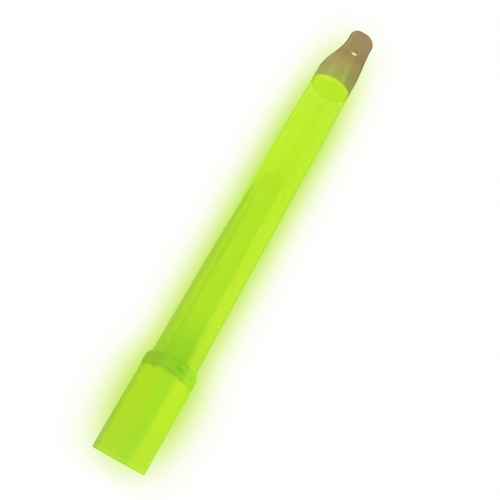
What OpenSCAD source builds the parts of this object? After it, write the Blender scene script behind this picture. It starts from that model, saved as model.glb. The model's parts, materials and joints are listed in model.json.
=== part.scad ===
// Chemical light baton: a tapered light tube with a hanging tab, standing in a foot cup.
// Z runs up the tube, the origin is the middle of the foot, and the tab faces -Y and +Y.

/* [Light tube] */
// Outer diameter at the open lower end
tube_low_d = 35; // [30:0.1:40]
// Outer diameter at the shoulder, where the tip starts
tube_high_d = 32.3; // [26:0.1:35]
// Length from the open end to the shoulder
tube_len = 328.8; // [250:0.2:420]
// Wall thickness
tube_wall = 2; // [1.2:0.1:3]
// Height of the domed end of the bore above the shoulder
dome_h = 9; // [4:0.5:12]

/* [Tip and hanging tab] */
// Height of the tip above the shoulder
tip_len = 47.8; // [44:0.2:70]
// Width of the flat tab
tab_w = 21; // [18:0.2:24]
// Thickness of the flat tab
tab_t = 7.2; // [3:0.2:9]
// Sideways offset of the tab's middle from the tube's axis
tab_offset = 3.4; // [0:0.1:4]
// Height over which the tube's width draws in to the tab
neck_h = 38; // [28:0.5:39]
// Height over which the tube's depth flattens to the tab
flat_h = 23; // [16:0.5:23]
// Corner radius of the tab on the side away from its offset
tab_near_r = 5.5; // [3:0.5:8]
// Corner radius of the tab on the side of its offset
tab_far_r = 8.5; // [3:0.5:10]
// Squareness of the tab's section: 2 is an ellipse, more is squarer
tab_square = 3; // [2.5:0.5:8]
// Edge radius along the top of the tab
tab_edge_r = 1.4; // [0.5:0.1:1.5]
// Diameter of the hanging hole
hole_d = 6.4; // [3:0.1:8]
// Distance from the tab's top down to the middle of the hole
hole_drop = 20; // [14:0.5:21]

/* [Rib under the hole] */
// Width of the rib
rib_w = 2.6; // [1.5:0.1:4]
// Height of the rib above the surface
rib_h = 0.6; // [0.3:0.1:1.2]
// Length of the rib along the tube
rib_len = 27; // [15:0.5:30]
// Distance from the rib's upper end down to the rim of the hole
rib_gap = 6; // [4:0.5:10]
// Length over which each end of the rib dips under the surface
rib_fade = 9; // [4:0.5:12]

/* [Collar ring] */
// Height
ring_h = 7.2; // [4:0.1:12]
// Width of the rounded upper shoulder
ring_shoulder_w = 2.6; // [1:0.1:2.7]
// Height of the rounded upper shoulder
ring_shoulder_h = 4.4; // [1:0.1:6]
// Chamfer at the seam with the cup's lip
seam_chamfer = 0.45; // [0.2:0.05:0.8]

/* [Base cup] */
// Wall thickness
cup_wall = 2.05; // [1.2:0.05:4]
// Height of the cup below its lip
cup_h = 63.6; // [30:0.2:90]
// Floor thickness
cup_floor = 2.4; // [1.6:0.1:4]
// Height of the thickened lip at the mouth
lip_h = 3.2; // [2:0.1:6]
// How far the lip and the ring stand out from the cup
lip_proud = 0.4; // [0.2:0.1:1.5]
// Radius of the bottom edge
foot_r = 0.9; // [0.3:0.1:1.5]

/* [End plug] */
// Thickness of the flange under the tube's end
plug_flange_t = 2; // [1:0.1:4]
// Length of the plug inside the tube
plug_len = 9; // [8:0.5:16]
// Wall thickness of the hollow plug
plug_wall = 2.2; // [1.2:0.1:3]
// Depth of the dish that the ampoule stands in
dish_depth = 2.5; // [1:0.1:3.5]

/* [Liquid] */
// Distance from the shoulder down to the level of the liquid
level_drop = 11; // [5:0.2:60]

/* [Ampoule] */
// Outer diameter of the glass
ampoule_d = 17; // [12:0.2:19]
// Overall length of the glass
ampoule_len = 228; // [150:1:230]
// Thickness of the glass
glass_wall = 0.7; // [0.4:0.05:1]
// Diameter of the sealed nib on top
nib_d = 4; // [2.5:0.1:5]
// Length of the sealed nib above the round shoulder
nib_len = 3.5; // [2.5:0.1:6]
// Height of the bubble above the activator
bubble_h = 14; // [8:0.5:40]

/* [Clearances] */
// Between the cup and the tube's lower end
cup_gap = 0.15; // [0.05:0.05:0.3]
// Between a fixed piece and the tube wall that it lies against
fit_gap = 0.05; // [0.03:0.01:0.1]
// Between the loose ampoule and its dish
dish_gap = 0.3; // [0.2:0.05:0.5]
// Between the loose ampoule and the liquid round it
float_gap = 0.5; // [0.3:0.05:0.8]
// Least layer of liquid between the leaning ampoule's path and the wall
film_t = 0.6; // [0.4:0.05:1]
// Between the tip's many-sided foot and the tube's round edge
tip_inset = 0.03; // [0.02:0.01:0.1]
// Left above the ampoule at the top of its travel
top_gap = 1.5; // [1:0.1:4]

/* [Hidden] */
$fn = 96;
curve_steps = 14;
tip_sides = 48;
cut = 1;

// Heights up the baton
tube_foot_z = cup_floor + plug_flange_t;
plug_top_z = tube_foot_z + plug_len;
seam_z = cup_h + lip_h;
shoulder_z = tube_foot_z + tube_len;
top_z = shoulder_z + tip_len;
hole_z = top_z - hole_drop;
rib_top_z = hole_z - hole_d / 2 - rib_gap;
level_z = shoulder_z - level_drop;

// Radii of the drafted tube at a height
draft = (tube_low_d - tube_high_d) / 2 / tube_len;
function tube_r(z) = tube_low_d / 2 - draft * (z - tube_foot_z);
function bore_r(z) = tube_r(z) - tube_wall;
cup_bore_r = tube_low_d / 2 + cup_gap;
cup_r = cup_bore_r + cup_wall;
lip_r = cup_r + lip_proud;

// The ampoule leans from its dish to the wall, and its path is one straight line
ampoule_r = ampoule_d / 2;
path_r = ampoule_r + float_gap;
dish_r = ampoule_r + dish_gap;
ampoule_foot_z = plug_top_z - dish_depth + dish_r;
lean = atan((bore_r(shoulder_z) - path_r - film_t) / (shoulder_z - ampoule_foot_z));
glass_straight = ampoule_len - ampoule_d - nib_len;
path_len = (shoulder_z - top_gap - ampoule_foot_z) / cos(lean);
travel = path_len - (ampoule_len - ampoule_r);
echo(lean = lean, travel = travel, foot = ampoule_foot_z, hole = hole_z, top = top_z, seam = seam_z);

// Smooth step from 0 to 1
function ease(u) = let (v = min(max(u, 0), 1)) v * v * (3 - 2 * v);
function mix(a, b, u) = a + (b - a) * u;
function steps(a, b) = [for (i = [0:curve_steps]) mix(a, b, i / curve_steps)];
function arc(x, y, r, from, to) = [for (a = steps(from, to)) [x + r * cos(a), y + r * sin(a)]];
function flip(points) = [for (i = [len(points) - 1:-1:0]) [-points[i][0], points[i][1]]];

// How far a rounded top corner of the given radius has drawn in at a height
function corner(z, r) = let (up = max(z - top_z + r, 0)) r - sqrt(max(r * r - up * up, 0));
// Half width of the tip on one side, and half depth, at a height
tip_foot_r = tube_r(shoulder_z) - tip_inset;
function tip_side(z, edge, r) = mix(tip_foot_r, edge, ease((z - shoulder_z) / neck_h)) - corner(z, r);
function tip_half_t(z) =
    mix(tip_foot_r, tab_t / 2, ease((z - shoulder_z) / flat_h)) - corner(z, tab_edge_r);

// One level section of the tip: a circle at the shoulder that turns into a rounded oblong
function lobe(v, square) = sign(v) * pow(abs(v), 2 / square);
function tip_section(z) =
    let (near = tip_side(z, tab_w / 2 - tab_offset, tab_near_r),
         far = tip_side(z, tab_w / 2 + tab_offset, tab_far_r),
         middle = (far - near) / 2,
         half_w = (far + near) / 2,
         half_t = tip_half_t(z),
         square = mix(2, tab_square, ease((z - shoulder_z) / flat_h)))
    [for (i = [0:tip_sides - 1]) let (a = 360 * i / tip_sides)
        [middle + half_w * lobe(cos(a), square), half_t * lobe(sin(a), square), z]];

// The solid tip, as a skin of triangles over its sections
module tip() {
    corner_z = top_z - tab_far_r;
    round_levels = [for (a = steps(0, 90)) if (a > 0) corner_z + tab_far_r * sin(a)];
    levels = concat(steps(shoulder_z, corner_z), round_levels);
    last = len(levels) - 1;
    function at(level, i) = level * tip_sides + i % tip_sides;
    sides = [for (k = [0:last - 1], i = [0:tip_sides - 1])
        each [[at(k, i), at(k + 1, i), at(k + 1, i + 1)], [at(k, i), at(k + 1, i + 1), at(k, i + 1)]]];
    floor_face = [for (i = [0:tip_sides - 1]) i];
    top_face = [for (i = [tip_sides - 1:-1:0]) at(last, i)];
    polyhedron([for (z = levels) each tip_section(z)], concat(sides, [floor_face, top_face]));
}

// Stands an outline drawn in Y and Z up as a plate of the given width
module side_plate(width) { rotate([90, 0, 90]) linear_extrude(width, center = true) children(); }

// The drafted tube as one solid, without its bore
module tube_cone(from, to, less) {
    translate([0, 0, from]) cylinder(h = to - from, r1 = tube_r(from) - less, r2 = tube_r(to) - less);
}

// A low rib on both faces of the tip, whose ends dip under the surface
module rib() {
    low = rib_top_z - rib_len;
    function skin(z) = min(sqrt(pow(tube_r(z), 2) - pow(tab_offset, 2)), tip_half_t(z));
    function raise(z) = mix(-rib_h, rib_h, ease(min(z - low, rib_top_z - z) / rib_fade));
    half = [for (z = steps(low, rib_top_z)) [skin(z) + raise(z), z]];
    translate([tab_offset, 0, 0]) side_plate(rib_w) polygon(concat(half, flip(half)));
}

module tube_bore() {
    tube_cone(tube_foot_z - cut, shoulder_z, tube_wall);
    end_r = bore_r(shoulder_z);
    dome = [for (a = steps(0, 90)) [end_r * cos(a), shoulder_z + dome_h * sin(a)]];
    rotate_extrude() polygon(concat([[0, shoulder_z - cut], [end_r, shoulder_z - cut]], dome));
}

module light_tube() {
    color("yellowgreen") difference() {
        union() {
            tube_cone(tube_foot_z, shoulder_z, 0);
            tip();
            rib();
        }
        tube_bore();
        translate([tab_offset, 0, hole_z]) rotate([90, 0, 0])
            cylinder(h = 2 * tube_low_d, d = hole_d, center = true);
    }
}

module collar_ring() {
    top = seam_z + ring_h;
    inner_r = tube_r(seam_z) + fit_gap;
    shoulder = [for (a = steps(0, 90)) [lip_r - ring_shoulder_w * (1 - cos(a)),
                                        top - ring_shoulder_h * (1 - sin(a))]];
    color("olivedrab") difference() {
        rotate_extrude() polygon(concat(
            [[inner_r - cut, seam_z], [lip_r - seam_chamfer, seam_z], [lip_r, seam_z + seam_chamfer]],
            shoulder, [[inner_r - cut, top]]));
        tube_cone(seam_z - cut, top + cut, -fit_gap);
    }
}

module base_cup() {
    foot = arc(cup_r - foot_r, foot_r, foot_r, -90, 0);
    color("greenyellow") rotate_extrude() polygon(concat([[0, 0]], foot,
        [[cup_r, cup_h], [lip_r, cup_h + lip_proud], [lip_r, seam_z - seam_chamfer],
         [lip_r - seam_chamfer, seam_z], [cup_bore_r, seam_z], [cup_bore_r, cup_floor], [0, cup_floor]]));
}

module end_plug() {
    body_r = bore_r(plug_top_z) - fit_gap;
    core_h = plug_flange_t + plug_len - dish_depth - plug_wall;
    color("palegoldenrod") difference() {
        union() {
            translate([0, 0, cup_floor]) cylinder(h = plug_flange_t, r = tube_low_d / 2);
            translate([0, 0, cup_floor]) cylinder(h = plug_flange_t + plug_len, r = body_r);
        }
        translate([0, 0, cup_floor - cut]) cylinder(h = core_h + cut, r = body_r - plug_wall);
        translate([0, 0, ampoule_foot_z]) sphere(dish_r);
    }
}

// Places what follows on the ampoule's leaning path, measured from the middle of its round foot
module on_path() { translate([0, 0, ampoule_foot_z]) rotate([0, -lean, 0]) children(); }

// A rod with round ends, between two heights on the path
module round_rod(r, from, to) {
    translate([0, 0, from]) sphere(r);
    translate([0, 0, from]) cylinder(h = to - from, r = r);
    translate([0, 0, to]) sphere(r);
}

module glow_liquid() {
    color("lime") difference() {
        tube_cone(plug_top_z, level_z, tube_wall + fit_gap);
        on_path() round_rod(path_r, 0, path_len);
    }
}

module ampoule_glass() {
    color("lightcyan", 0.4) on_path() difference() {
        union() {
            round_rod(ampoule_r, 0, glass_straight);
            round_rod(nib_d / 2, glass_straight, glass_straight + ampoule_r + nib_len - nib_d / 2);
        }
        round_rod(ampoule_r - glass_wall, 0, glass_straight);
    }
}

module activator_liquid() {
    r = ampoule_r - glass_wall - fit_gap;
    color("honeydew") on_path() {
        sphere(r);
        cylinder(h = glass_straight - bubble_h, r = r);
    }
}

light_tube();
collar_ring();
base_cup();
end_plug();
glow_liquid();
ampoule_glass();
activator_liquid();
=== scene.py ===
import json
import math

import bpy
import numpy as np
from mathutils import Matrix, Vector


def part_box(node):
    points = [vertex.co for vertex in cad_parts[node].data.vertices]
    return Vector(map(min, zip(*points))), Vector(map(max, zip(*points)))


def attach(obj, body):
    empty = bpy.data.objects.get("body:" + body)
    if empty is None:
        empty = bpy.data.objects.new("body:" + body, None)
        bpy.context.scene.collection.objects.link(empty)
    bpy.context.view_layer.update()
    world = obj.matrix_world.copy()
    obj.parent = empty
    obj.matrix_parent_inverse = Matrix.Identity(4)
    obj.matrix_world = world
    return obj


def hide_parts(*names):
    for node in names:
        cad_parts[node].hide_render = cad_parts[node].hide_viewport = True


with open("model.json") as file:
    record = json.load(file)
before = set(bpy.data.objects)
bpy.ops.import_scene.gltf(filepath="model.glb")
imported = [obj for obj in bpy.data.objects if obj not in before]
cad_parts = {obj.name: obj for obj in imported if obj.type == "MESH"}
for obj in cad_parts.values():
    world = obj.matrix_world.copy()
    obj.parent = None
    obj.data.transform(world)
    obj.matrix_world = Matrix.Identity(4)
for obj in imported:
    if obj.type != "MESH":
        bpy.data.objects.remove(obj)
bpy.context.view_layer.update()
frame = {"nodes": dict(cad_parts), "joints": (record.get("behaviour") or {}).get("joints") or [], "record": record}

mm = 0.001
print("frame loaded:", sorted(frame["nodes"]))

# Camera: the baton stands upright, the camera is just below the floor, looks up and is rolled
sight = {
    "distance": 520.8 * mm,  # from the baton's axis
    "height": -1 * mm,
    "aimHeight": 172.1 * mm,  # height on the axis at the middle of the picture
    "sideStep": 7.59 * mm,  # camera to the right of the axis
    "roll": math.radians(29.34),  # lean of the baton in the picture
    "focalPixels": 753.2,
    "picturePixels": 500,
    "sensor": 36.0,
}


def addObject(name, data):
    made = bpy.data.objects.new(name, data)
    bpy.context.scene.collection.objects.link(made)
    return made


def makeCamera(s):
    rise = math.atan2(s["aimHeight"] - s["height"], s["distance"])
    forward = Vector((0, math.cos(rise), math.sin(rise)))
    level = Vector((1, 0, 0))
    plumb = level.cross(forward)
    right = level * math.cos(s["roll"]) + plumb * math.sin(s["roll"])
    up = plumb * math.cos(s["roll"]) - level * math.sin(s["roll"])
    data = bpy.data.cameras.new("camera")
    data.sensor_width = s["sensor"]
    data.lens = s["sensor"] * s["focalPixels"] / s["picturePixels"]
    camera = addObject("camera", data)
    turn = Matrix((right, up, -forward)).transposed().to_4x4()
    camera.matrix_world = Matrix.Translation((s["sideStep"], -s["distance"], s["height"])) @ turn
    bpy.context.scene.camera = camera


makeCamera(sight)
bpy.context.scene.view_settings.view_transform = "Standard"
print("camera placed")


# Shapes: all are grids of points in millimetres, rows by columns, with the columns going round

def ease(value, low, high):
    # 0 below low, 1 above high, a smooth step between
    u = np.clip((value - low) / (high - low), 0, 1)
    return u * u * (3 - 2 * u)


def around(sides):
    return np.arange(sides) * 2 * np.pi / sides


def turned(radius, height, angles):
    # each row is a circle: x = r cos a, y = r sin a, at the row's height
    x = radius * np.cos(angles)
    y = radius * np.sin(angles)
    return np.stack([x, y, height + 0 * x], -1)


def lathed(rows, angles):
    # the same for rows of a radius and a height
    return turned(rows[:, :1], rows[:, 1:], angles)


def bands(rows, columns, ringed):
    # quads between each row and the next, and from the last row to the first where ringed
    row, column = np.mgrid[0:rows if ringed else rows - 1, 0:columns]
    low = row * columns
    high = (row + 1) % rows * columns
    beside = (column + 1) % columns
    return np.stack([low + column, low + beside, high + beside, high + column], -1)


def loopSkin(grid):
    # rows that meet: the last one joins the first
    rows, columns = grid.shape[:2]
    return grid.reshape(-1, 3), bands(rows, columns, True).reshape(-1, 4).tolist()


def capFaces(rows, columns):
    # fans from the first and the last row to one point each, numbered after the grid
    here = np.arange(columns)
    beside = (here + 1) % columns
    first = np.stack([beside, here, np.full(columns, rows * columns)], -1)
    top = (rows - 1) * columns
    last = np.stack([top + here, top + beside, np.full(columns, rows * columns + 1)], -1)
    return first.tolist() + last.tolist()


def poleSkin(grid):
    # a closed ball: the first and the last row close on their middles
    rows, columns = grid.shape[:2]
    points = np.vstack([grid.reshape(-1, 3), grid[0].mean(0), grid[-1].mean(0)])
    return points, bands(rows, columns, False).reshape(-1, 4).tolist() + capFaces(rows, columns)


def joinSkins(*skins):
    points, faces, start = [], [], 0
    for skinPoints, skinFaces in skins:
        points.append(skinPoints)
        faces += [[start + i for i in face] for face in skinFaces]
        start += len(skinPoints)
    return np.vstack(points), faces


def addPiece(name, skin, finish, body, node, marks=None):
    points, faces = skin
    mesh = bpy.data.meshes.new(name)
    mesh.from_pydata((points * mm).tolist(), [], faces)
    mesh.polygons.foreach_set("use_smooth", np.ones(len(mesh.polygons), bool))
    for mark, values in (marks or {}).items():
        mesh.attributes.new(mark, "FLOAT", "POINT").data.foreach_set("value", values.astype(np.float32))
    mesh.materials.append(finish)
    mesh.validate()
    piece = addObject(name, mesh)
    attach(piece, body)
    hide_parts(node)
    print("piece:", name, len(mesh.vertices), "points")


nearPole = 88  # degrees; the rows of a dome stop just short of its pole


def arc(middle, radius, start, end, steps):
    # points of a circle's arc in radius and height, from one angle to another in degrees
    a = np.radians(np.linspace(start, end, steps))
    return np.stack([middle[0] + radius * np.cos(a), middle[1] + radius * np.sin(a)], -1)


def between(a, b, steps):
    # points of a straight line, without its last one
    return np.linspace(a, b, steps, endpoint=False)


# Shader maths: a wire is one output socket, and sums of wires add Math nodes

class Wire:
    def __init__(self, finish, socket):
        self.finish = finish
        self.socket = socket

    def of(self, output):
        return Wire(self.finish, self.socket.node.outputs[output])

    def math(self, operation, first, second):
        return self.finish.node("Math", {"operation": operation}, {0: first, 1: second})

    def __add__(self, other):
        return self.math("ADD", self, other)

    def __radd__(self, other):
        return self.math("ADD", other, self)

    def __sub__(self, other):
        return self.math("SUBTRACT", self, other)

    def __rsub__(self, other):
        return self.math("SUBTRACT", other, self)

    def __mul__(self, other):
        return self.math("MULTIPLY", self, other)

    def __rmul__(self, other):
        return self.math("MULTIPLY", other, self)


class Finish:
    def __init__(self, owner):
        self.owner = owner  # a material or the world
        owner.use_nodes = True
        self.tree = owner.node_tree
        self.tree.nodes.clear()

    def node(self, kind, settings, sockets, output=0):
        made = self.tree.nodes.new("ShaderNode" + kind)
        for key, value in settings.items():
            setattr(made, key, value)
        for key, value in sockets.items():
            if isinstance(value, Wire):
                self.tree.links.new(value.socket, made.inputs[key])
            else:
                made.inputs[key].default_value = value
        return Wire(self, made.outputs[output]) if made.outputs else None

    def place(self):
        return self.node("TexCoord", {}, {}, "Object")

    def spot(self):
        # Object coordinates, and the three of them in millimetres
        here = self.place()
        parts = self.node("SeparateXYZ", {}, {"Vector": here})
        return here, *(parts.of(axis) * (1 / mm) for axis in "XYZ")

    def mark(self, name):
        # a number that the piece's own points carry
        return self.node("Attribute", {"attribute_name": name}, {}, "Fac")

    def ease(self, value, low, high):
        return self.node("MapRange", {"interpolation_type": "SMOOTHSTEP"},
                         {"Value": value, "From Min": low, "From Max": high})

    def mix(self, first, second, share):
        return self.node("Mix", {"data_type": "RGBA"}, {0: share, 6: first, 7: second}, 2)

    def dim(self, colour, share):
        return self.node("VectorMath", {"operation": "SCALE"}, {0: colour, "Scale": share})

    def grain(self, here, stretch, scale, detail=3.0):
        spread = self.node("Mapping", {}, {"Vector": here, "Scale": stretch})
        return self.node("TexNoise", {}, {"Vector": spread, "Scale": scale, "Detail": detail}, "Fac")

    def bump(self, height, distance, strength):
        sockets = {"Height": height, "Distance": distance, "Strength": strength}
        return self.node("Bump", {}, sockets, "Normal")

    def close(self, **sockets):
        named = {key.replace("_", " "): value for key, value in sockets.items()}
        shader = self.node("BsdfPrincipled", {}, named)
        self.node("OutputMaterial", {}, {"Surface": shader})
        return self.owner


def newFinish(name):
    return Finish(bpy.data.materials.new(name))


def screen(red, green, blue):
    # a screen colour from 0 to 255 as the linear colour that a socket takes
    share = np.array([red, green, blue]) / 255
    linear = np.where(share <= 0.04045, share / 12.92, ((share + 0.055) / 1.055) ** 2.4)
    return *linear.tolist(), 1.0


def lit(red, green, blue, lift=(1.18, 1.05, 1.4)):
    # a screen colour of the glow, lifted for what the haze round the baton takes
    return *(np.array(screen(red, green, blue)[:3]) * lift).tolist(), 1.0


def through(red, green, blue):
    # the same for the tube, where the clear wall, the liquid and the far wall add up
    return lit(red, green, blue, (1.2, 1.02, 1.4))


# Heights that several pieces keep to, in millimetres, and the lean of the ampoule's path
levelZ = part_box("glow_liquid")[1].z / mm
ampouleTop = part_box("ampoule_glass")[1].z / mm
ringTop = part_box("collar_ring")[1].z / mm
slide = frame["joints"][0]["axis"]
lean = slide[0] / slide[2]  # sideways step for each step up

# Plastic: what the looks of the tube, the ring and the cup share
plastic = {
    "bodyShare": 0.3,  # plain plastic colour under the glow
    "specular": 0.16,
    "streakShare": 0.4,  # faint wisps, from the fine streaks and the wide clouds
    "cloudShare": 0.6,
    "wispSpan": (0.5, 0.75),
    "wispShare": 0.15,
    "bumpDepth": 0.0003,
    "bumpStrength": 0.2,
}


def wisped(f, tone, wisp, streaks, clouds):
    # a tone with faint wisps of another
    drift = streaks * plastic["streakShare"] + clouds * plastic["cloudShare"]
    return f.mix(tone, wisp, f.ease(drift, *plastic["wispSpan"]) * plastic["wispShare"])


def moulded(f, streaks, clouds):
    return f.bump(streaks + clouds, plastic["bumpDepth"], plastic["bumpStrength"])


# Light tube: a drafted tube whose round section turns into a flat tab with a hole
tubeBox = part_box("light_tube")
hangingHole = next(m for m in frame["record"]["mounts"] if m["name"] == "hanging_hole")
tube = {
    "foot": tubeBox[0].z / mm,
    "top": tubeBox[1].z / mm,
    "footRadius": tubeBox[1].x / mm,
    "shoulderRadius": 16.15,
    "shoulder": 333.2,  # height where the tip starts
    "wall": 2.0,
    "domeHeight": 9.0,  # domed end of the bore
    "nearEdge": 7.1,  # tab's half width on the side away from its offset
    "farEdge": 13.9,
    "nearCorner": 5.5,
    "farCorner": 8.5,
    "neckHeight": 38.0,  # over which the width draws in
    "flatHeight": 23.0,  # over which the depth flattens
    "tabHalf": 3.6,
    "tabEdge": 1.4,
    "squareness": 3.0,
    "holeX": hangingHole["pos_m"][0] / mm,
    "holeZ": hangingHole["pos_m"][2] / mm,
    "holeRadius": hangingHole["dims"]["r_mm"],
    "holeEdge": 0.5,  # rounding of the hole's rim
    "ribWidth": 2.6,
    "ribHeight": 0.6,
    "ribLow": 324.8,
    "ribHigh": 351.8,
    "ribFade": 9.0,
    "ribSlope": (-0.6, 0.3),  # from half the rib's width
    "footEdge": 0.3,
    "sides": 240,
    "heightRows": (44, 20, 38, 17, 18),  # up to the level, shoulder, hole, corner and top
    "fineRoom": 4,  # height below the rib from which the rows are close
    "domeRows": 16,
    "boreRows": 40,
    "holeColumns": 12,  # half the columns and rows that the hole takes out
    "holeRows": 5,
    "holeReach": 2.2,  # how far the grid bends round the hole, in holes
    # marks: each is a span from nothing to full
    "rimInset": (0.85, 0.98),  # painted dark shade along the rims, by share of the half width
    "rimUp": (-6.0, 8.0),  # the same from the shoulder
    "rimTop": (-2.4, -0.9),  # the same from the top
    "eyeOut": (0.1, 0.8),  # from the hole's edge
    "skinShare": (0.86, 0.93),  # from the bore to the outer face, by share of the section
    "boreCover": (0.5, 2.0),  # above the dome
    # looks: tones, their spans across and up, and how much of each is mixed in
    "streaks": ((1.0, 1.0, 0.06), 420.0),  # stretch and scale of a grain
    "clouds": ((1.0, 1.0, 0.35), 60.0),
    "bright": through(196, 238, 49),
    "calm": through(178, 224, 45),  # painted shade down the left side
    "calmAcross": (-10.0, -5.0),
    "calmUp": (165.0, ampouleTop + 6.0),
    "upper": through(199, 242, 51),  # painted brighter glow above the ampoule
    "upperUp": (ampouleTop - 6.0, ampouleTop + 14.0),
    "upperShare": 0.8,
    "olive": through(160, 198, 56),  # painted shade of the ampoule's side along the left edge
    "oliveAcross": (0.4, 7.0),
    "oliveSlim": 2.4,  # how much narrower it is at the ampoule's top
    "oliveUp": (ampouleTop - 38.0, ampouleTop - 6.0),
    "line": through(166, 242, 30),  # painted bright highlight line between the left shade and the edge
    "lineWidth": 2.0,
    "lineWidens": (120.0, ampouleTop),
    "lineAcross": (-0.7, 0.3),
    "lineUp": (130.0, 190.0),
    "lineFade": 0.7,  # above the ampoule
    # painted shade along both edges
    "edge": through(160, 222, 34),
    "edgeAcross": (0.2, 2.6),
    "edgeShare": 0.9,
    "leftEdgeShare": 0.8,
    "shade": through(142, 203, 43),  # under the level and above the ring
    "levelShadeUp": (levelZ - 44.0, levelZ - 6.0),
    "levelShade": 0.2,
    "ringShadeUp": (ringTop - 4.0, ringTop + 46.0),
    "ringShade": 0.69,
    "ringLightAcross": (7.0, 11.0),  # right side, where less of that shade falls
    "ringLight": 0.45,
    "wisp": through(172, 224, 42),
    "tipUp": (levelZ - 1.2, levelZ + 0.8),
    "tipGreen": screen(167, 170, 91),  # painted glow from the liquid, just above it
    "tipOlive": screen(169, 152, 107),
    "tipOliveUp": (levelZ, levelZ + 14.0),
    "tipBrown": screen(174, 144, 114),
    "tipBrownUp": (levelZ + 4.0, levelZ + 40.0),
    "tipDark": screen(138, 116, 78),
    "tipCloudSpan": (0.5, 0.8),
    "tipCloudShare": 0.2,
    # painted glow of a lit streak up the rib
    "tipStreak": screen(168, 194, 70),
    "streakFoot": 5.2,  # sideways place of the lit streak at the shoulder, and how it leans
    "streakLean": -0.055,
    "streakSpread": (0.5, 4.0),  # in square millimetres
    "streakUp": (levelZ, 350.8),
    "streakShare": 0.55,
    "facetAcross": (0.8, 2.4),  # painted shade on the facet to the right of the streak
    "facetPast": 6.0,  # how far above the hole's middle it ends
    "facetShare": 0.32,
    # painted dark shade along the tip's narrow sides and top
    "rimLeft": screen(90, 84, 38),
    "rimRight": screen(120, 80, 56),
    "rimAcross": (-2.0, 8.0),
    "rimShare": 0.85,
    "tipShare": 0.68,  # the tip's own colour, and how much of it glows
    "tipGlow": 0.36,
    "lowGlow": 0.18,  # painted glow: more of it towards the liquid, and in the hole to lift its shaded wall
    "lowGlowUp": (levelZ, levelZ + 44.0),
    "eyeGlow": 0.42,
    "glowStrength": 0.85,
    "boreGlow": 0.82,
    "outerAlpha": 0.62,
    "boreAlpha": 0.03,
    "ceilingAlpha": 0.95,  # bore above the liquid, whose surface lights it from below
    "ceilingUp": (levelZ - 2.6, levelZ - 1.0),
    "tipAlpha": 0.95,
    "roughness": 0.42,
    "streakRoughness": 0.16,
    "tipCoat": 0.12,
    "coatRoughness": 0.25,
}


def tubeRadius(t, z):
    # straight draft from the foot's radius to the shoulder's
    share = (z - t["foot"]) / (t["shoulder"] - t["foot"])
    return t["footRadius"] + (t["shoulderRadius"] - t["footRadius"]) * share


def cornerCut(t, z, radius):
    # how far a rounded top corner has drawn in at a height
    up = np.clip(z - t["top"] + radius, 0, radius)
    return radius - np.sqrt(radius ** 2 - up ** 2)


def tubeSection(t, z):
    # middle, half width, half depth and squareness of the outer section at a height
    neck = ease(z, t["shoulder"], t["shoulder"] + t["neckHeight"])
    flat = ease(z, t["shoulder"], t["shoulder"] + t["flatHeight"])
    radius = tubeRadius(t, np.minimum(z, t["shoulder"]))
    near = radius + (t["nearEdge"] - radius) * neck - cornerCut(t, z, t["nearCorner"])
    far = radius + (t["farEdge"] - radius) * neck - cornerCut(t, z, t["farCorner"])
    depth = radius + (t["tabHalf"] - radius) * flat - cornerCut(t, z, t["tabEdge"])
    return (far - near) / 2, (far + near) / 2, depth, 2 + (t["squareness"] - 2) * flat


def ribShape(t, x, z):
    # from 0 beside the rib to 1 on its crest, running out at both ends
    across = 1 - ease(np.abs(x - t["holeX"]) - t["ribWidth"] / 2, *t["ribSlope"])
    rise = ease(np.minimum(z - t["ribLow"], t["ribHigh"] - z), 0, t["ribFade"])
    return np.maximum(2 * rise - 1, 0) * across


def tubeDepth(t, x, z):
    # half depth at a point of the face: a rounded oblong, |x|^n + |y|^n = 1, plus the rib
    middle, half, depth, square = tubeSection(t, z)
    u = np.clip(np.abs((x - middle) / half), 0, 1)
    return depth * (1 - u ** square) ** (1 / square) + ribShape(t, x, z) * t["ribHeight"]


def tubeHeights(t):
    # rows of the outer face, close together where the shape turns
    levelLow = t["ribLow"] - t["fineRoom"]
    corner = t["top"] - t["farCorner"]
    toLevel, toShoulder, toHole, toCorner, toTop = t["heightRows"]
    crown = corner + t["farCorner"] * np.sin(np.radians(np.linspace(0, 90, toTop)))
    return np.concatenate([
        between(t["foot"] + t["footEdge"], levelLow, toLevel),
        between(levelLow, t["shoulder"], toShoulder),
        between(t["shoulder"], t["holeZ"], toHole),
        between(t["holeZ"], corner, toCorner),
        crown,
    ])


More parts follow.
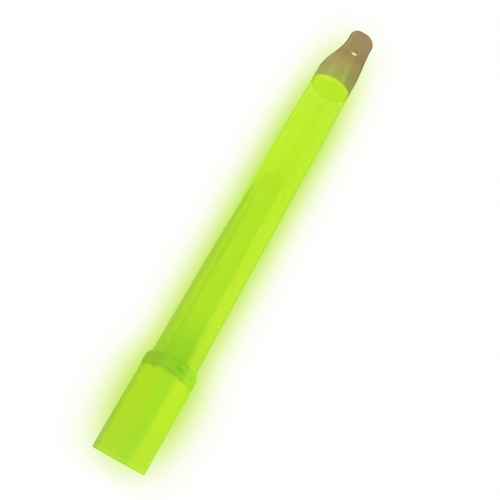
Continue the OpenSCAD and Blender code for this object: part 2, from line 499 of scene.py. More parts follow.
def tubeSkin(t):
    angles = around(t["sides"])
    columns = t["sides"]
    # bore, from the dome's crown down to the foot
    swing = np.radians(np.linspace(nearPole, 0, t["domeRows"]))
    boreTop = t["shoulderRadius"] - t["wall"]
    domeRows = np.stack([boreTop * np.cos(swing), t["shoulder"] + t["domeHeight"] * np.sin(swing)], -1)
    boreZ = np.linspace(t["shoulder"], t["foot"] + t["footEdge"], t["boreRows"])[1:]
    boreRows = np.stack([tubeRadius(t, boreZ) - t["wall"], boreZ], -1)
    boreFoot = boreRows[-1, 0] + t["footEdge"]
    footRows = np.array([[boreFoot, t["foot"]], [t["footRadius"] - t["footEdge"], t["foot"]]])
    inner = np.vstack([domeRows, boreRows, footRows])
    innerGrid = lathed(inner, angles)
    # outer face, from the foot up
    rise = tubeHeights(t)
    z = rise[:, None] + 0 * angles
    middle, half, _, _ = tubeSection(t, z)
    x = middle + half * np.cos(angles)
    side = np.sign(np.round(np.sin(angles), 9))
    # the grid bends round the hole: a square of cells on each face becomes a circle
    holeRow = int(np.argmin(np.abs(rise - t["holeZ"])))
    steps = np.arange(columns)
    q = (np.arange(len(rise))[:, None] - holeRow) / t["holeRows"] + 0 * angles
    for start, way in ((columns * 3 // 4, 1), (columns // 4, -1)):
        offset = (steps - start + columns // 2) % columns - columns // 2
        p = way * offset / t["holeColumns"] + 0 * q
        reach = np.maximum(np.abs(p), np.abs(q))  # 1 along the edge of that square
        far = np.maximum(np.hypot(p, q), 1e-6)
        rim = (t["holeRadius"] + t["holeEdge"]) * reach
        pull = (1 - ease(reach, 1, t["holeReach"])) * (side * -way > 0)
        x = x + (t["holeX"] + rim * p / far - x) * pull
        z = z + (t["holeZ"] + rim * q / far - z) * pull
    outerGrid = np.stack([x, side * tubeDepth(t, x, z), z], -1)
    grid = np.vstack([innerGrid, outerGrid])
    rows = len(grid)
    points = np.vstack([grid.reshape(-1, 3), grid[0].mean(0), grid[-1].mean(0)])
    # leave out the cells inside the hole, on both faces
    cells = bands(rows, columns, False)
    row = np.arange(rows - 1)[:, None] - len(inner) - holeRow
    column = np.arange(columns)[None, :]
    inside = (row >= -t["holeRows"]) & (row < t["holeRows"])
    inHole = np.zeros(cells.shape[:2], bool)
    for start in (columns * 3 // 4, columns // 4):
        offset = column - start
        inHole |= inside & (offset >= -t["holeColumns"]) & (offset < t["holeColumns"])
    faces = cells[~inHole].tolist() + capFaces(rows, columns)
    # the hole's wall runs from rim to rim, with rounded edges
    c, r = t["holeColumns"], t["holeRows"]
    p = np.concatenate([np.arange(-c, c), np.full(2 * r, c), np.arange(c, -c, -1), np.full(2 * r, -c)])
    q = np.concatenate([np.full(2 * c, -r), np.arange(-r, r), np.full(2 * c, r), np.arange(r, -r, -1)])
    front = (len(inner) + holeRow + q) * columns + columns * 3 // 4 + p
    back = (len(inner) + holeRow + q) * columns + columns // 4 - p
    swing = np.radians([22.5, 45, 67.5, 90])[:, None]
    out = points[front][:, [0, 2]] - (t["holeX"], t["holeZ"])
    out = out / np.hypot(out[:, 0], out[:, 1])[:, None]
    radius = t["holeRadius"] + t["holeEdge"] * (1 - np.sin(swing))
    depth = t["holeEdge"] * (1 - np.cos(swing))
    wallX = t["holeX"] + out[:, 0] * radius
    wallZ = t["holeZ"] + out[:, 1] * radius
    frontWall = np.stack([wallX, points[front][:, 1] + depth, wallZ], -1)
    backWall = np.stack([wallX, points[back][:, 1] - depth, wallZ], -1)[::-1]
    first = len(points)
    points = np.vstack([points, frontWall.reshape(-1, 3), backWall.reshape(-1, 3)])
    inRows = first + np.arange(2 * len(swing) * len(p)).reshape(-1, len(p))
    loops = np.vstack([front, inRows, back])
    here = np.arange(len(p))
    beside = (here + 1) % len(p)
    nearer, farther = loops[:-1], loops[1:]
    corners = [nearer[:, beside], farther[:, beside], farther[:, here], nearer[:, here]]
    faces += np.stack(corners, -1).reshape(-1, 4).tolist()
    # drop the points that no face uses
    used = np.unique(np.concatenate([np.ravel(f) for f in faces]))
    number = np.zeros(len(points), int)
    number[used] = np.arange(len(used))
    return points[used], [[int(number[i]) for i in face] for face in faces]


def tubeMarks(t, points):
    # outer: 1 on the outer face and above the bore, 0 on the bore; rim: 1 along the tip's narrow
    # sides and its top, which carry painted dark shade; eye: 1 in the hole
    x, y, z = points.T
    middle, half, depth, square = tubeSection(t, np.minimum(z, t["top"] - 0.01))
    u = np.abs((x - middle) / half)
    filled = u ** square + np.abs(y / depth) ** square
    sides = ease(u, *t["rimInset"]) * ease(z - t["shoulder"], *t["rimUp"])
    fromHole = np.hypot(x - t["holeX"], z - t["holeZ"]) - t["holeRadius"]
    overBore = ease(z - t["shoulder"] - t["domeHeight"], *t["boreCover"])
    return {
        "outer": np.maximum(ease(filled, *t["skinShare"]), overBore),
        "rim": np.maximum(sides, ease(z - t["top"], *t["rimTop"])),
        "eye": 1 - ease(fromHole, *t["eyeOut"]),
    }


def tubeFinish(t):
    f = newFinish("tubePlastic")
    here, x, _, z = f.spot()
    streaks = f.grain(here, *t["streaks"])
    clouds = f.grain(here, *t["clouds"])
    draft = (t["shoulderRadius"] - t["footRadius"]) / (t["shoulder"] - t["foot"])
    radius = t["footRadius"] + (z - t["foot"]) * draft
    # lit part: bright, with painted shade down the left side and painted glow above the ampoule; the ampoule shows
    # through the wall
    above = f.ease(z, *t["upperUp"])
    calm = (1 - f.ease(x, *t["calmAcross"])) * (1 - f.ease(z, *t["calmUp"]))
    tone = f.mix(t["bright"], t["calm"], calm)
    tone = f.mix(tone, t["upper"], above * t["upperShare"])
    # left edge: painted shade of the ampoule's side, and higher up a painted bright highlight line beside it
    climb = f.ease(z, *t["lineWidens"])
    inset = radius + x - climb * t["lineWidth"]
    oliveStart, oliveEnd = t["oliveAcross"]
    olive = 1 - f.ease(inset, oliveStart, oliveEnd - climb * t["oliveSlim"])
    tone = f.mix(tone, t["olive"], olive * (1 - f.ease(z, *t["oliveUp"])))
    line = (1 - f.ease(inset, *t["lineAcross"])) * f.ease(z, *t["lineUp"])
    tone = f.mix(tone, t["line"], line * (1 - above * t["lineFade"]))
    # painted shade at both edges, then the painted shade under the level and above the ring
    rightEdge = 1 - f.ease(radius - x, *t["edgeAcross"])
    leftEdge = 1 - f.ease(radius + x, *t["edgeAcross"])
    tone = f.mix(tone, t["edge"], rightEdge * t["edgeShare"])
    tone = f.mix(tone, t["edge"], leftEdge * above * t["leftEdgeShare"])
    tone = f.mix(tone, t["shade"], f.ease(z, *t["levelShadeUp"]) * t["levelShade"])
    dull = t["ringShade"] - f.ease(x, *t["ringLightAcross"]) * t["ringLight"]
    tone = f.mix(tone, t["shade"], (1 - f.ease(z, *t["ringShadeUp"])) * dull)
    tone = wisped(f, tone, t["wisp"], streaks, clouds)
    # tip: dull brown; painted glow greener towards the liquid and up the rib, painted shade on a facet and along
    # the rims
    brown = f.mix(t["tipGreen"], t["tipOlive"], f.ease(z, *t["tipOliveUp"]))
    brown = f.mix(brown, t["tipBrown"], f.ease(z, *t["tipBrownUp"]))
    brown = f.mix(brown, t["tipDark"], f.ease(clouds, *t["tipCloudSpan"]) * t["tipCloudShare"])
    off = x - (z - t["shoulder"]) * t["streakLean"] - t["streakFoot"]
    overRib = f.ease(z, t["ribHigh"], t["holeZ"] + t["facetPast"])
    facetShade = f.ease(off, *t["facetAcross"]) * (1 - overRib)
    streak = (1 - f.ease(off * off, *t["streakSpread"])) * (1 - f.ease(z, *t["streakUp"]))
    brown = f.mix(brown, t["tipDark"], facetShade * t["facetShare"])
    brown = f.mix(brown, t["tipStreak"], streak * t["streakShare"])
    rimTone = f.mix(t["rimLeft"], t["rimRight"], f.ease(x, *t["rimAcross"]))
    brown = f.mix(brown, rimTone, f.mark("rim") * t["rimShare"])
    # glow and clearness of the outer face, of the bore and of the tip
    outer = f.mark("outer")
    tip = f.ease(z, *t["tipUp"]) * outer
    low = (1 - f.ease(z, *t["lowGlowUp"])) * t["lowGlow"]
    afterglow = f.dim(brown, t["tipGlow"] + low + f.mark("eye") * t["eyeGlow"])
    glowing = f.dim(tone, t["boreGlow"] + outer * (1 - t["boreGlow"]))
    ceiling = f.ease(z, *t["ceilingUp"])
    bore = t["boreAlpha"] + ceiling * (t["ceilingAlpha"] - t["boreAlpha"])
    clear = bore + outer * (t["outerAlpha"] - bore)
    return f.close(
        Base_Color=f.mix(f.dim(tone, plastic["bodyShare"]), f.dim(brown, t["tipShare"]), tip),
        Emission_Color=f.mix(glowing, afterglow, tip),
        Emission_Strength=t["glowStrength"],
        Alpha=clear + tip * (t["tipAlpha"] - clear),
        Roughness=t["roughness"] + streaks * t["streakRoughness"],
        Specular_IOR_Level=plastic["specular"],
        Coat_Weight=tip * t["tipCoat"],
        Coat_Roughness=t["coatRoughness"],
        Normal=moulded(f, streaks, clouds),
    )


tubeShape = tubeSkin(tube)
addPiece("lightTube", tubeShape, tubeFinish(tube), "baton", "light_tube",
         tubeMarks(tube, tubeShape[0]))


# Glow on the cup and its bead: painted shade on the left and middle with a green band in it, bright on the right
glow = {
    "bright": lit(196, 238, 49),
    "brightAcross": (4.0, 9.2),
    "calm": lit(182, 225, 45),
    "green": lit(168, 226, 43),
    "greenAcross": (-6.0, -2.0),
    "greenShare": 0.7,
}


def cupTone(f, x):
    bright = f.ease(x, *glow["brightAcross"])
    tone = f.mix(glow["calm"], glow["bright"], bright)
    band = f.ease(x, *glow["greenAcross"]) * (1 - bright)
    return f.mix(tone, glow["green"], band * glow["greenShare"])


# Weld line: the bead's lower border, highest a little left of the middle and lower at both sides
weld = {
    "peak": 65.6,
    "peakX": -3.0,
    "fall": 0.011,  # drop for each square millimetre away from the peak
    "stray": 0.8,  # how far a grain moves the line
    "borderUp": (-0.8, 0.4),  # from the cup's tones to the bead's
    "middleAcross": (-12.0, -2.0),  # from the bead's left tone to its middle one, then its right one
    "rightAcross": (7.0, 13.0),
    "seamIn": (-2.4, 0.1),  # dark line along the weld, softer below it
    "seamOut": (0.1, 1.4),
    "seamAcross": (2.0, 13.0),  # over which it ends on the right
    "seamShare": 0.45,
}


def overWeld(x, z, grain):
    # height over the weld line in millimetres
    off = x - weld["peakX"]
    return z - weld["peak"] + off * off * weld["fall"] + grain * weld["stray"] - weld["stray"] / 2


def weldTone(f, x):
    # the bead's tones from left to right: painted side shade, darker on the left and lighter on the right
    tone = f.mix(ring["left"], ring["middle"], f.ease(x, *weld["middleAcross"]))
    return f.mix(tone, ring["right"], f.ease(x, *weld["rightAcross"]))


def weldSeam(f, x, over):
    seam = f.ease(over, *weld["seamIn"]) * (1 - f.ease(over, *weld["seamOut"]))
    return seam * (1 - f.ease(x, *weld["seamAcross"])) * weld["seamShare"]


# Collar ring: a welded bead with a rounded, slightly uneven shoulder
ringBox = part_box("collar_ring")
ring = {
    "seam": ringBox[0].z / mm,
    "top": ringBox[1].z / mm,
    "radius": ringBox[1].x / mm,
    "shoulderWidth": 2.6,
    "shoulderHeight": 4.4,
    "chamfer": 0.15,
    "gap": 0.05,
    "sideFoot": 0.4,  # start of the straight side above the seam
    "uneven": 0.4,  # how far the bead sinks in at its low spots
    "unevenInset": 1.0,
    "unevenUp": (0.3, 2.0),  # above the seam
    "waves": [(5, 0.4), (9, 2.1), (17, 4.0)],  # count and start of each wave round the baton
    "waveTwist": 0.07,  # radians for each millimetre up
    "topUneven": 0.56,  # how far its top sinks
    "topWaves": [(3, 1.2), (7, 0.3), (13, 2.6)],
    "bow": 2.0,  # how much higher the bead's top is in front and behind
    "bowMean": 0.3,
    "bowFoot": 0.5,
    "sides": 240,
    # each smear and spot: angle, width, height, reach, strength
    "smears": [(285, 7, 69.8, 1.1, 0.9), (294, 6, 68.8, 0.9, 0.8), (236, 9, 70.5, 1.6, 0.4),
               (96, 12, 70.0, 1.5, 0.8), (170, 8, 69.0, 1.2, 0.6)],
    "spots": [(293, 3, 71.6, 0.6, 0.9), (120, 5, 71.0, 0.8, 0.7)],
    "blotches": ((1.0, 1.0, 2.6), 150.0, 4.0),  # stretch, scale and detail of a grain
    "flow": ((1.0, 1.0, 5.0), 60.0),
    # painted side shade: darker on the left, lighter on the right
    "left": lit(145, 193, 50),
    "middle": lit(144, 208, 41),
    "right": lit(167, 230, 45),
    "dark": lit(130, 188, 40),
    "darkSpan": (0.5, 0.72),
    "darkShare": 0.4,
    "smear": lit(112, 196, 32),
    # painted shade along the bead's top edge, where it meets the tube
    "rimTone": lit(128, 174, 48),
    "rimUp": (ringTop - 1.6, ringTop + 2.2),
    "rimStray": 2.4,
    "rimShare": 0.4,
    "seamTone": lit(126, 166, 54),
    "glowStrength": 0.75,
    "alpha": 0.92,
    "flowAlpha": 0.06,
    "roughness": 0.38,
    "blotchRoughness": 0.2,
    "specular": 0.18,
    "blotchBump": 0.6,
    "bumpDepth": 0.0006,
    "bumpStrength": 0.35,
}


def waviness(angles, *waves):
    # a sum of sines round the baton, from 0 to 1; each wave is a count and a start in radians
    total = sum(np.sin(count * angles + start) for count, start in waves)
    return 0.5 + total / (2 * len(waves))


def ringSkin(s):
    angles = around(s["sides"])
    swing = np.radians(np.linspace(0, 90, 14))
    shoulder = np.stack([s["radius"] - s["shoulderWidth"] * (1 - np.cos(swing)),
                         s["top"] - s["shoulderHeight"] * (1 - np.sin(swing))], -1)
    inTop = tubeRadius(tube, s["top"]) + s["gap"]
    inSeam = tubeRadius(tube, s["seam"]) + s["gap"]
    rows = np.vstack([
        between((inSeam, s["seam"]), (s["radius"] - s["chamfer"], s["seam"]), 4),
        arc((s["radius"] - s["chamfer"], s["seam"] + s["chamfer"]), s["chamfer"], -90, 0, 6),
        between((s["radius"], s["seam"] + s["sideFoot"]), shoulder[0], 8),
        shoulder,
        between((inTop, s["top"]), (inSeam, s["seam"]), 8),
    ])
    radius = rows[:, :1] + 0 * angles
    height = rows[:, 1:] + 0 * angles
    outside = ease(radius, inSeam, s["radius"] - s["unevenInset"])
    outside = outside * ease(height - s["seam"], *s["unevenUp"])
    lift = ease(height, s["seam"] + s["bowFoot"], s["top"])
    twisted = angles + height * s["waveTwist"]
    radius = radius - s["uneven"] * outside * waviness(twisted, *s["waves"])
    height = height - s["topUneven"] * lift * waviness(angles, *s["topWaves"])
    height = height + s["bow"] * lift * (np.sin(angles) ** 2 - s["bowMean"])
    return loopSkin(turned(radius, height, angles))


def patches(points, rows):
    # soft round spots on the skin; each row is an angle, its width, a height, its reach and a strength
    turn = np.degrees(np.arctan2(points[:, 1], points[:, 0]))
    total = 0
    for angle, width, height, reach, strength in rows:
        away = (turn - angle + 180) % 360 - 180
        total = total + strength * np.exp(-(away / width) ** 2 - ((points[:, 2] - height) / reach) ** 2)
    return np.clip(total, 0, 1)


def ringFinish(s):
    f = newFinish("ringPlastic")
    here, x, _, z = f.spot()
    blotches = f.grain(here, *s["blotches"])
    flow = f.grain(here, *s["flow"])
    over = overWeld(x, z, flow)
    tone = weldTone(f, x)
    tone = f.mix(tone, s["dark"], f.ease(blotches, *s["darkSpan"]) * s["darkShare"])
    tone = f.mix(tone, s["smear"], f.mark("smear"))
    tone = f.mix(tone, s["right"], f.mark("spot"))
    # painted shade along the bead's top edge
    tone = f.mix(tone, s["rimTone"], f.ease(z + flow * s["rimStray"], *s["rimUp"]) * s["rimShare"])
    tone = f.mix(cupTone(f, x), tone, f.ease(over, *weld["borderUp"]))
    tone = f.mix(tone, s["seamTone"], weldSeam(f, x, over))
    return f.close(
        Base_Color=f.dim(tone, plastic["bodyShare"]),
        Emission_Color=tone,
        Emission_Strength=s["glowStrength"],
        Alpha=s["alpha"] + flow * s["flowAlpha"],
        Roughness=s["roughness"] + blotches * s["blotchRoughness"],
        Specular_IOR_Level=s["specular"],
        Normal=f.bump(blotches * s["blotchBump"] + flow, s["bumpDepth"], s["bumpStrength"]),
    )


ringShape = ringSkin(ring)
addPiece("collarRing", ringShape, ringFinish(ring), "baton", "collar_ring",
         {"smear": patches(ringShape[0], ring["smears"]), "spot": patches(ringShape[0], ring["spots"])})


# Base cup: a straight cup with a thickened lip, whose weld has run down in places
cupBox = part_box("base_cup")
cup = {
    "top": cupBox[1].z / mm,
    "lipRadius": cupBox[1].x / mm,
    "radius": 19.7,
    "bore": 17.65,
    "floor": 2.4,
    "floorEdge": 0.5,
    "footEdge": 0.9,
    "middleRadius": 0.4,  # where the rows of the foot and the floor stop
    "lipLow": 63.6,  # lower edge of the lip, crisp on the right and soft on the left
    "lipCrisp": 0.4,
    "lipSoft": 1.0,
    "lipRoom": 6,  # height below that edge in which the rows are close
    "chamfer": 0.15,
    "sides": 240,
    "skinOut": (0.4, 1.0),  # from the bore's radius to the outer face
    "footUp": (0.1, 0.5),
    # each stain: angle, width, height, reach, strength
    "stains": [(236, 9, 64.0, 1.6, 0.8), (272, 9, 64.9, 1.3, 0.7), (300, 6, 64.0, 1.6, 0.8),
               (18, 9, 63.0, 1.8, 0.8), (75, 6, 64.6, 1.6, 0.9), (140, 8, 64.0, 1.8, 0.8)],
    "streaks": ((1.0, 1.0, 0.08), 380.0),
    "clouds": ((1.0, 1.0, 0.6), 70.0),
    "olive": lit(156, 184, 66),  # painted shade along the left edge, weaker higher up
    "oliveAcross": (-18.6, -14.2),
    "oliveShare": 0.9,
    "oliveUp": (0.0, 40.0),
    "oliveFade": 0.3,
    "shade": lit(142, 203, 43),  # towards the foot
    "shadeUp": (0.0, 45.0),
    "shadeShare": 0.34,
    "weldShare": 0.9,
    # painted shade along the right edge
    "edge": lit(164, 224, 28),
    "edgeAcross": (17.6, 19.2),
    "edgeShare": 0.75,
    "line": lit(160, 240, 24),  # painted bright highlight line on the left edge, below the lip
    "lineAcross": (-19.5, -18.6),
    "lineUp": (34.0, 50.0),
    "lineEnd": (62.5, 65.0),
    "stainTone": lit(128, 188, 40),
    "stainShare": 0.9,
    "wisp": lit(168, 222, 42),
    "glowStrength": 0.79,
    "outerAlpha": 0.8,
    "boreAlpha": 0.15,
    "floorAlpha": 0.2,  # added at the foot
    "floorUp": (1.5, 4.5),
    "roughness": 0.42,
    "cloudRoughness": 0.18,
}


def cupSkin(s):
    angles = around(s["sides"])
    foot = arc((s["radius"] - s["footEdge"], s["footEdge"]), s["footEdge"], -90, 0, 8)
    lipTop = arc((s["lipRadius"] - s["chamfer"], s["top"] - s["chamfer"]), s["chamfer"], 0, 90, 6)
    wallTop = s["lipLow"] - s["lipRoom"]
    outside = np.vstack([
        between((s["middleRadius"], 0), foot[0], 8),
        foot,
        between(foot[-1], (s["radius"], wallTop), 30),
    ])
    low = s["floor"] + s["floorEdge"]
    flat = s["bore"] - s["floorEdge"]
    inside = np.vstack([
        lipTop,
        between((s["bore"], s["top"]), (s["bore"], low), 24),
        between((s["bore"], low), (flat, s["floor"]), 3),
        between((flat, s["floor"]), (s["middleRadius"], s["floor"]), 8),
        [(s["middleRadius"], s["floor"])],
    ])
    # the lip: from the wall out to the lip's radius in a smooth step round the edge's height
    soft = s["lipCrisp"] + s["lipSoft"] * (1 - np.cos(angles))
    share = np.linspace(0, 1, 24)[:, None]
    lipZ = wallTop + (s["top"] - s["chamfer"] - wallTop) * share + 0 * angles
    step = ease(lipZ, s["lipLow"] - soft, s["lipLow"] + soft)
    lipR = s["radius"] + (s["lipRadius"] - s["radius"]) * step
    grids = [lathed(outside, angles), turned(lipR, lipZ, angles), lathed(inside, angles)]
    return poleSkin(np.vstack(grids))


def cupMarks(s, points):
    # outer: 1 on the outer face and the foot, 0 on the bore; stain: where the weld has run down
    x, y, z = points.T
    outer = np.maximum(ease(np.hypot(x, y) - s["bore"], *s["skinOut"]), 1 - ease(z, *s["footUp"]))
    return {"outer": outer, "stain": patches(points, s["stains"])}


def cupFinish(s):
    f = newFinish("cupPlastic")
    here, x, _, z = f.spot()
    streaks = f.grain(here, *s["streaks"])
    clouds = f.grain(here, *s["clouds"])
    over = overWeld(x, z, clouds)
    tone = cupTone(f, x)
    olive = s["oliveShare"] - f.ease(z, *s["oliveUp"]) * s["oliveFade"]
    tone = f.mix(tone, s["olive"], (1 - f.ease(x, *s["oliveAcross"])) * olive)
    tone = f.mix(tone, s["shade"], (1 - f.ease(z, *s["shadeUp"])) * s["shadeShare"])
    tone = f.mix(tone, weldTone(f, x), f.ease(over, *weld["borderUp"]) * s["weldShare"])
    tone = f.mix(tone, ring["seamTone"], weldSeam(f, x, over))
    tone = f.mix(tone, s["edge"], f.ease(x, *s["edgeAcross"]) * s["edgeShare"])
    line = (1 - f.ease(x, *s["lineAcross"])) * f.ease(z, *s["lineUp"])
    tone = f.mix(tone, s["line"], line * (1 - f.ease(z, *s["lineEnd"])))
    tone = f.mix(tone, s["stainTone"], f.mark("stain") * s["stainShare"])
    tone = wisped(f, tone, s["wisp"], streaks, clouds)
    clear = s["boreAlpha"] + f.mark("outer") * (s["outerAlpha"] - s["boreAlpha"])
    return f.close(
        Base_Color=f.dim(tone, plastic["bodyShare"]),
        Emission_Color=tone,
        Emission_Strength=s["glowStrength"],
        Alpha=clear + (1 - f.ease(z, *s["floorUp"])) * s["floorAlpha"],
        Roughness=s["roughness"] + clouds * s["cloudRoughness"],
        Specular_IOR_Level=plastic["specular"],
        Normal=moulded(f, streaks, clouds),
    )


cupShape = cupSkin(cup)
addPiece("baseCup", cupShape, cupFinish(cup), "baton", "base_cup",
         cupMarks(cup, cupShape[0]))


# Lit solution: fills the bore up to the level, round the channel that the ampoule slides in
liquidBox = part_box("glow_liquid")
liquid = {
    "low": liquidBox[0].z / mm,
    "level": liquidBox[1].z / mm,
    "gap": 0.05,
    "channel": 9.0,
    "channelFoot": 19.7,  # height of the channel's round end
    "meniscus": 0.7,  # how far the level climbs at the wall
    "meniscusReach": 0.45,  # and over which share of the way to the channel
    "rows": 60,
    "sides": 160,
    "grain": ((1.0, 1.0, 0.22), 90.0, 4.0),
    "pale": screen(196, 242, 50),
    "deep": screen(184, 236, 40),
    "deepSpan": (0.4, 0.7),
    "bodyShare": 0.25,
    "glowStrength": 1.0,
    "alpha": 0.02,
    "wispAlpha": 0.03,
    "roughness": 0.2,
    "wispRoughness": 0.1,
    "specular": 0.2,
}


def liquidSkin(s):
    angles = around(s["sides"])
    outZ = np.linspace(s["low"], s["level"], s["rows"])[:, None] + 0 * angles
    outR = tubeRadius(tube, outZ) - tube["wall"] - s["gap"]
    outer = turned(outR, outZ, angles)
    # channel: a leaning round hole whose lower end is part of a ball
    inZ = np.linspace(s["level"] - s["meniscus"], s["low"], s["rows"])[:, None] + 0 * angles
    below = np.clip(s["channelFoot"] - inZ, 0, s["channel"])
    inR = np.sqrt(s["channel"] ** 2 - below ** 2)
    channel = turned(inR, inZ, angles)
    channel[..., 0] += lean * np.maximum(inZ - s["channelFoot"], 0)
    # top: a level face that climbs to the wall
    share = np.linspace(0, 1, 8)[1:-1, None, None]
    top = outer[-1] + (channel[0] - outer[-1]) * share
    top[..., 2] = s["level"] - s["meniscus"] * ease(share[..., 0], 0, s["meniscusReach"])
    return loopSkin(np.vstack([outer, top, channel]))


def liquidFinish(s):
    f = newFinish("litSolution")
    wisps = f.grain(f.place(), *s["grain"])
    tone = f.mix(s["pale"], s["deep"], f.ease(wisps, *s["deepSpan"]))
    return f.close(
        Base_Color=f.dim(tone, s["bodyShare"]),
        Emission_Color=tone,
        Emission_Strength=s["glowStrength"],
        Alpha=s["alpha"] + wisps * s["wispAlpha"],
        Roughness=s["roughness"] + wisps * s["wispRoughness"],
        Specular_IOR_Level=s["specular"],
    )


addPiece("litSolution", liquidSkin(liquid), liquidFinish(liquid), "baton",
         "glow_liquid")


# Ampoule: a thin glass tube with a round foot, a round shoulder and a drawn, sealed nib
ampoule = {
    "radius": 8.5,
    "wall": 0.7,
    "foot": 19.7,  # height of the middle of the round foot
    "straight": 207.5,
    "nibRadius": 2.0,
    "nibLength": 3.5,
    "nibFlare": 4,  # degrees by which the shoulder stops short of the nib
    "nibTurn": 86,
    "sides": 96,
    "streaks": ((1.0, 1.0, 0.03), 300.0),
    # painted light and shade across the glass, from its left side to its right
    "left": screen(114, 182, 42),
    "middle": screen(110, 190, 40),
    "middleAcross": (-8.0, -5.0),
    "right": screen(70, 190, 34),
    "rightAcross": (-2.0, 2.0),
    "streak": screen(82, 174, 34),
    "streakSpan": (0.5, 0.7),
    "streakShare": 0.3,
    # painted lighter glow towards the top of the glass
    "upper": screen(156, 210, 46),
    "upperUp": (130.0, ampouleTop),
    "upperShare": 0.5,
    "bodyShare": 0.2,
    "glowStrength": 0.95,
    "alpha": 0.35,
    "streakAlpha": 0.1,
    "roughness": 0.08,
    "streakRoughness": 0.06,
    "specular": 0.5,
}


def leaned(grid, foot):
    # the path's axis leans sideways, so the upright shape turns about the middle of its foot
    tilt = math.atan(lean)
    x = grid[..., 0] * math.cos(tilt) + grid[..., 2] * math.sin(tilt)
    z = grid[..., 2] * math.cos(tilt) - grid[..., 0] * math.sin(tilt)
    return np.stack([x, grid[..., 1], z + foot], -1)


def ampouleSkin(s):
    angles = around(s["sides"])
    nibTop = s["straight"] + s["radius"] + s["nibLength"]
    neck = math.degrees(math.asin(math.sqrt(1 - (s["nibRadius"] / s["radius"]) ** 2)))
    outer = np.vstack([
        arc((0, 0), s["radius"], -nearPole, 0, 16)[:-1],
        between((s["radius"], 0), (s["radius"], s["straight"]), 24),
        arc((0, s["straight"]), s["radius"], 0, neck - s["nibFlare"], 16),
        arc((0, nibTop - s["nibRadius"]), s["nibRadius"], 0, s["nibTurn"], 8),
    ])
    hollow = s["radius"] - s["wall"]
    inner = np.vstack([
        arc((0, s["straight"]), hollow, nearPole, 0, 16)[:-1],
        between((hollow, s["straight"]), (hollow, 0), 24),
        arc((0, 0), hollow, 0, -nearPole, 16),
    ])
    shells = [leaned(lathed(rows, angles), s["foot"]) for rows in (outer, inner)]
    return joinSkins(*(poleSkin(shell) for shell in shells))


def ampouleFinish(s):
    f = newFinish("clearGlass")
    here, x, _, z = f.spot()
    off = x - (z - s["foot"]) * lean
    streaks = f.grain(here, *s["streaks"])
    # painted light and shade across the glass, and painted lighter glow towards its top
    tone = f.mix(s["left"], s["middle"], f.ease(off, *s["middleAcross"]))
    tone = f.mix(tone, s["right"], f.ease(off, *s["rightAcross"]))
    tone = f.mix(tone, s["streak"], f.ease(streaks, *s["streakSpan"]) * s["streakShare"])
    tone = f.mix(tone, s["upper"], f.ease(z, *s["upperUp"]) * s["upperShare"])
    return f.close(
        Base_Color=f.dim(tone, s["bodyShare"]),
        Emission_Color=tone,
        Emission_Strength=s["glowStrength"],
        Alpha=s["alpha"] + streaks * s["streakAlpha"],
        Roughness=s["roughness"] + streaks * s["streakRoughness"],
        Specular_IOR_Level=s["specular"],
    )


addPiece("ampouleGlass", ampouleSkin(ampoule), ampouleFinish(ampoule), "ampoule",
         "ampoule_glass")


# Carried-over solids: the activator inside the ampoule and the plug inside the cup
activator = {
    "grain": ((1.0, 1.0, 0.3), 110.0, 4.0),
    "deep": screen(78, 180, 36),
    "pale": screen(96, 192, 40),
    "paleSpan": (0.35, 0.7),
    "bodyShare": 0.2,
    "glowStrength": 0.95,
    "roughness": 0.25,
    "wispRoughness": 0.1,
}


def activatorFinish(s):
    f = newFinish("activator")
    wisps = f.grain(f.place(), *s["grain"])
    tone = f.mix(s["deep"], s["pale"], f.ease(wisps, *s["paleSpan"]))
    return f.close(
        Base_Color=f.dim(tone, s["bodyShare"]),
        Emission_Color=tone,
        Emission_Strength=s["glowStrength"],
        Roughness=s["roughness"] + wisps * s["wispRoughness"],
    )


plug = {
    "grain": ((1.0, 1.0, 1.0), 140.0),
    "pale": screen(170, 214, 60),
    "deep": screen(150, 200, 48),
    "deepSpan": (0.35, 0.7),
    "glowStrength": 0.4,
    "roughness": 0.4,
    "cloudRoughness": 0.2,
    "bumpDepth": 0.0003,
    "bumpStrength": 0.3,
}


def plugFinish(s):
    f = newFinish("plugPlastic")
    clouds = f.grain(f.place(), *s["grain"])
    tone = f.mix(s["pale"], s["deep"], f.ease(clouds, *s["deepSpan"]))
    return f.close(
        Base_Color=tone,
        Emission_Color=tone,
        Emission_Strength=s["glowStrength"],
        Roughness=s["roughness"] + clouds * s["cloudRoughness"],
        Normal=f.bump(clouds, s["bumpDepth"], s["bumpStrength"]),
    )


def dress(node, finish):
    mesh = frame["nodes"][node].data
    mesh.materials.clear()
    mesh.materials.append(finish)


dress("activator_liquid", activatorFinish(activator))
dress("end_plug", plugFinish(plug))
print("solids dressed")


# Stage: a pale floor, a white world, soft lamps and a haze that paints the glow's green halo round the baton
stage = {
    "white": (1, 1, 1, 1),
    "floorSize": 12.0,
    "floorDrop": 0.0002,
    "floorFill": 0.61,  # own light of the floor in the picture, near the baton and far off
    "farFill": 0.77,
    "farSpan": (0.3, 2.0),
    "cardTones": [(0.43, 0.43, 0.43, 1), (0.47, 0.47, 0.47, 1)],
    "cardGrain": ((1.0, 1.0, 1.0), 30.0),
    "worldLight": 0.5,
    "lampAim": (0, 0, 0.2),
    "keyLamp": ((-0.9, -0.9, 1.1), 0.7, 11.0),  # place, size and power
    "fillLamp": ((1.0, -0.6, 0.6), 0.9, 4.8),
    "hazeRadius": 0.06,
    "hazeLow": -0.022,
    "hazeTop": 0.425,
    "hazeWidth": 0.02,  # where the haze has thinned to a third
    "hazeFoot": 0.023,  # the same round the cup
    "hazeFootEnd": (55.0, 90.0),  # heights in millimetres, also below
    "hazeStart": (-20.0, 45.0),
    "hazeEnd": (262.0, 395.0),
    "hazeDensity": 94.5,
    "hazeColour": (0.71, 0.9, 0.0, 1.0),  # what the haze lets through
    "hazeStep": 0.1,
    "hazeSides": 48,
}


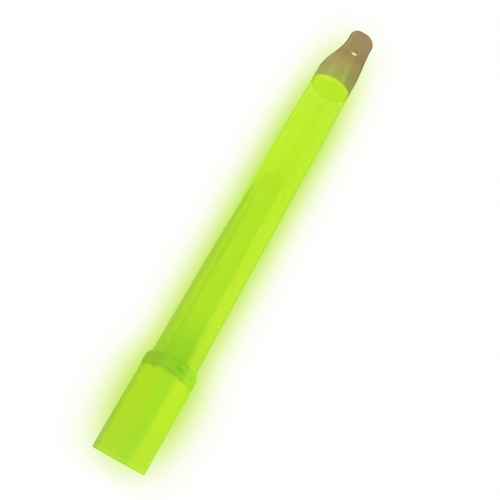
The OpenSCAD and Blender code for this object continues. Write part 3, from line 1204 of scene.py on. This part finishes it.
def makeFloor(s):
    half = s["floorSize"] / 2
    corners = [(-half, -half), (half, -half), (half, half), (-half, half)]
    mesh = bpy.data.meshes.new("floor")
    mesh.from_pydata([(x, y, -s["floorDrop"]) for x, y in corners], [], [(0, 1, 2, 3)])
    f = newFinish("floorCard")
    here = f.place()
    away = f.node("VectorMath", {"operation": "LENGTH"}, {0: here}, "Value")
    card = f.mix(*s["cardTones"], f.grain(here, *s["cardGrain"]))
    shade = f.node("BsdfDiffuse", {}, {"Color": card})
    seen = f.node("LightPath", {}, {}, "Is Camera Ray")
    level = s["floorFill"] + f.ease(away, *s["farSpan"]) * (s["farFill"] - s["floorFill"])
    fill = f.node("Emission", {}, {"Color": s["white"], "Strength": seen * level})
    fromAbove = f.node("AddShader", {}, {0: shade, 1: fill})
    fromBelow = f.node("BsdfTransparent", {}, {})
    under = f.node("NewGeometry", {}, {}, "Backfacing")
    surface = f.node("MixShader", {}, {0: under, 1: fromAbove, 2: fromBelow})
    f.node("OutputMaterial", {}, {"Surface": surface})
    mesh.materials.append(f.owner)
    floor = addObject("floor", mesh)


def makeHaze(s):
    # a round-topped sleeve of thin haze; its density falls off as a bell from the axis, and to the ends
    swing = np.radians(np.linspace(0, nearPole, 12))
    radius = s["hazeRadius"] / mm
    low = (s["hazeTop"] - s["hazeRadius"]) / mm
    foot = s["hazeLow"] / mm
    rows = np.vstack([[(0.5, foot)], [(radius, foot)],
                      np.stack([radius * np.cos(swing), low + radius * np.sin(swing)], -1)])
    points, faces = poleSkin(lathed(rows, around(s["hazeSides"])))
    mesh = bpy.data.meshes.new("haze")
    mesh.from_pydata((points * mm).tolist(), [], faces)
    f = newFinish("glowHaze")
    _, x, y, z = f.spot()
    slim = (mm / s["hazeWidth"]) ** 2
    wide = (mm / s["hazeFoot"]) ** 2
    fall = wide + f.ease(z, *s["hazeFootEnd"]) * (slim - wide)
    bell = f.node("Math", {"operation": "EXPONENT"}, {0: (x * x + y * y) * fall * -1})
    ends = f.ease(z, *s["hazeStart"]) * (1 - f.ease(z, *s["hazeEnd"]))
    density = bell * ends * s["hazeDensity"]
    # the haze absorbs mostly blue, which paints the glow's green halo round the baton
    haze = f.node("VolumeAbsorption", {}, {"Color": s["hazeColour"], "Density": density})
    f.node("OutputMaterial", {}, {"Volume": haze})
    f.owner.cycles.volume_step_rate = s["hazeStep"]
    mesh.materials.append(f.owner)
    sleeve = addObject("haze", mesh)


def makeWorld(s):
    bpy.context.scene.world = bpy.data.worlds.new("studio")
    f = Finish(bpy.context.scene.world)
    path = f.node("LightPath", {}, {}, "Is Camera Ray")
    seen = path.math("MAXIMUM", path, path.of("Is Glossy Ray"))
    seen = seen.math("MAXIMUM", seen, path.of("Is Transmission Ray"))
    strength = s["worldLight"] + seen * (1 - s["worldLight"])
    back = f.node("Background", {}, {"Color": s["white"], "Strength": strength})
    f.node("OutputWorld", {}, {"Surface": back})


def makeLamp(name, aim, place, size, power):
    data = bpy.data.lights.new(name, "AREA")
    data.size = size
    data.energy = power
    lamp = addObject(name, data)
    lamp.location = place
    lamp.rotation_euler = (Vector(aim) - Vector(place)).to_track_quat("-Z", "Y").to_euler()


makeFloor(stage)
makeHaze(stage)
makeWorld(stage)
makeLamp("key", stage["lampAim"], *stage["keyLamp"])
makeLamp("fill", stage["lampAim"], *stage["fillLamp"])
print("stage set")
